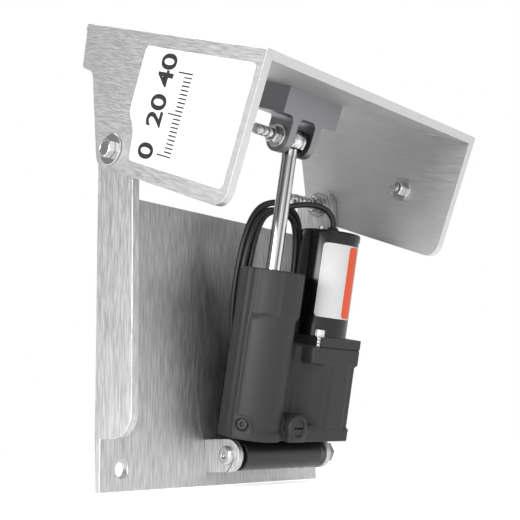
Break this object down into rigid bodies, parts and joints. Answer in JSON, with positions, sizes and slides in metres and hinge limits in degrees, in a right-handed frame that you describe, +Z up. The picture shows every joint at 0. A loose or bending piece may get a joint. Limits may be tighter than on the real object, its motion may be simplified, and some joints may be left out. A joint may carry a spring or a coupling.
{
  "type": "power trim and tilt unit",
  "caption": "Transom-mounted tilting engine bracket raised by a hydraulic ram with its own electric pump motor.",
  "frame": {"origin": "on the transom face, at mid width, half way between the lower and upper transom bolt rows", "axes": "+X to the unit's right seen from the boat's stern, +Y into the transom, +Z up"},
  "size_m": [0.398, 0.2987, 0.5432],
  "materials": {
    "brushed_plate": "brushed and anodised",
    "machined_block": "machined",
    "stainless": "satin stainless steel",
    "polished_rod": "ground and polished",
    "gear_steel": "machined",
    "black_casting": "satin paint over rough casting",
    "black_gland": "satin black",
    "black_paint": "gloss black paint",
    "black_tube": "gloss black paint",
    "nylon": "black nylon",
    "rubber": "matt",
    "cable_sheath": "satin black sheath",
    "connector_plastic": "moulded",
    "bronze": "sintered bronze",
    "copper_winding": "varnished copper and steel",
    "magnet": "ferrite",
    "label_white": "white film",
    "label_orange": "orange film"
  },
  "bodies": {
    "base": {"transom_channel": "brushed_plate", "lower_lug_left": "brushed_plate", "lower_lug_right": "brushed_plate", "lower_pivot_bolt": "stainless", "lower_pivot_washers": "stainless", "lower_pivot_nut": "stainless", "pivot_bolts": "stainless", "pivot_washers": "stainless", "pivot_nuts": "stainless"},
    "bracket": {"tilt_bracket": "brushed_plate", "pivot_bushings": "nylon", "clevis_block": "machined_block", "clevis_block_screws": "stainless", "clevis_bolt_head_end": "stainless", "clevis_bolt_thread_end": "stainless", "clevis_washers": "stainless", "clevis_nut": "stainless", "side_bolt": "stainless", "side_washers": "stainless", "side_nut": "stainless", "side_label": "label_white"},
    "ram": {"cylinder_casting": "black_casting", "pivot_tube": "black_tube", "pivot_tube_bushings": "nylon", "rod_gland": "black_gland", "rod_wiper": "rubber", "motor_flange": "black_casting", "motor_housing": "black_paint", "motor_top_cap": "black_paint", "motor_screws": "stainless", "motor_bearings": "gear_steel", "motor_magnets": "magnet", "motor_label": "label_white", "motor_label_stripe": "label_orange", "idler_pin": "gear_steel", "filler_plug": "black_casting", "cable_grommet": "rubber", "motor_cable": "cable_sheath", "cable_coil": "cable_sheath", "cable_tie": "nylon", "cable_connector": "connector_plastic"},
    "rod": {"piston_rod": "polished_rod", "rod_eye": "polished_rod", "rod_eye_bush": "bronze", "clevis_bolt_middle": "stainless", "piston": "machined_block", "piston_seal": "rubber", "piston_nut": "gear_steel"},
    "rotor": {"armature": "copper_winding", "pump_drive_gear": "gear_steel"},
    "idler": {"pump_idler_gear": "gear_steel"},
    "valve": {"release_valve": "black_casting"}
  },
  "joints": [
    {"name": "bracket_tilt", "type": "hinge", "parent": "base", "child": "bracket", "pos_m": [0, -0.0395, 0.2474], "axis": [1, 0, 0], "range_deg": [0, 65.72]},
    {"name": "ram_swing", "type": "hinge", "parent": "base", "child": "ram", "pos_m": [0, -0.0485, -0.0901], "axis": [1, 0, 0], "range_deg": [-0.6, 0]},
    {"name": "rod_slide", "type": "slide", "parent": "ram", "child": "rod", "axis": [0, -0.2295, 0.9733], "range_m": [-0.1101, 0]},
    {"name": "motor_spin", "type": "hinge", "parent": "ram", "child": "rotor", "pos_m": [0.102, -0.09538, 0.10433], "axis": [0, -0.2295, 0.9733], "continuous": true},
    {"name": "idler_spin", "type": "hinge", "parent": "ram", "child": "idler", "pos_m": [0.102, -0.06254, 0.04426], "axis": [0, -0.2295, 0.9733], "continuous": true},
    {"name": "valve_turn", "type": "hinge", "parent": "ram", "child": "valve", "pos_m": [0.0465, -0.09641, -0.06123], "axis": [0, -0.9733, -0.2295], "range_deg": [0, 540]}
  ],
  "couplings": [
    {"joint": "rod_slide", "follows": "bracket_tilt", "m_per_rad": -0.095781},
    {"joint": "ram_swing", "follows": "bracket_tilt", "ratio": -0.007632},
    {"joint": "idler_spin", "follows": "motor_spin", "ratio": -1}
  ]
}
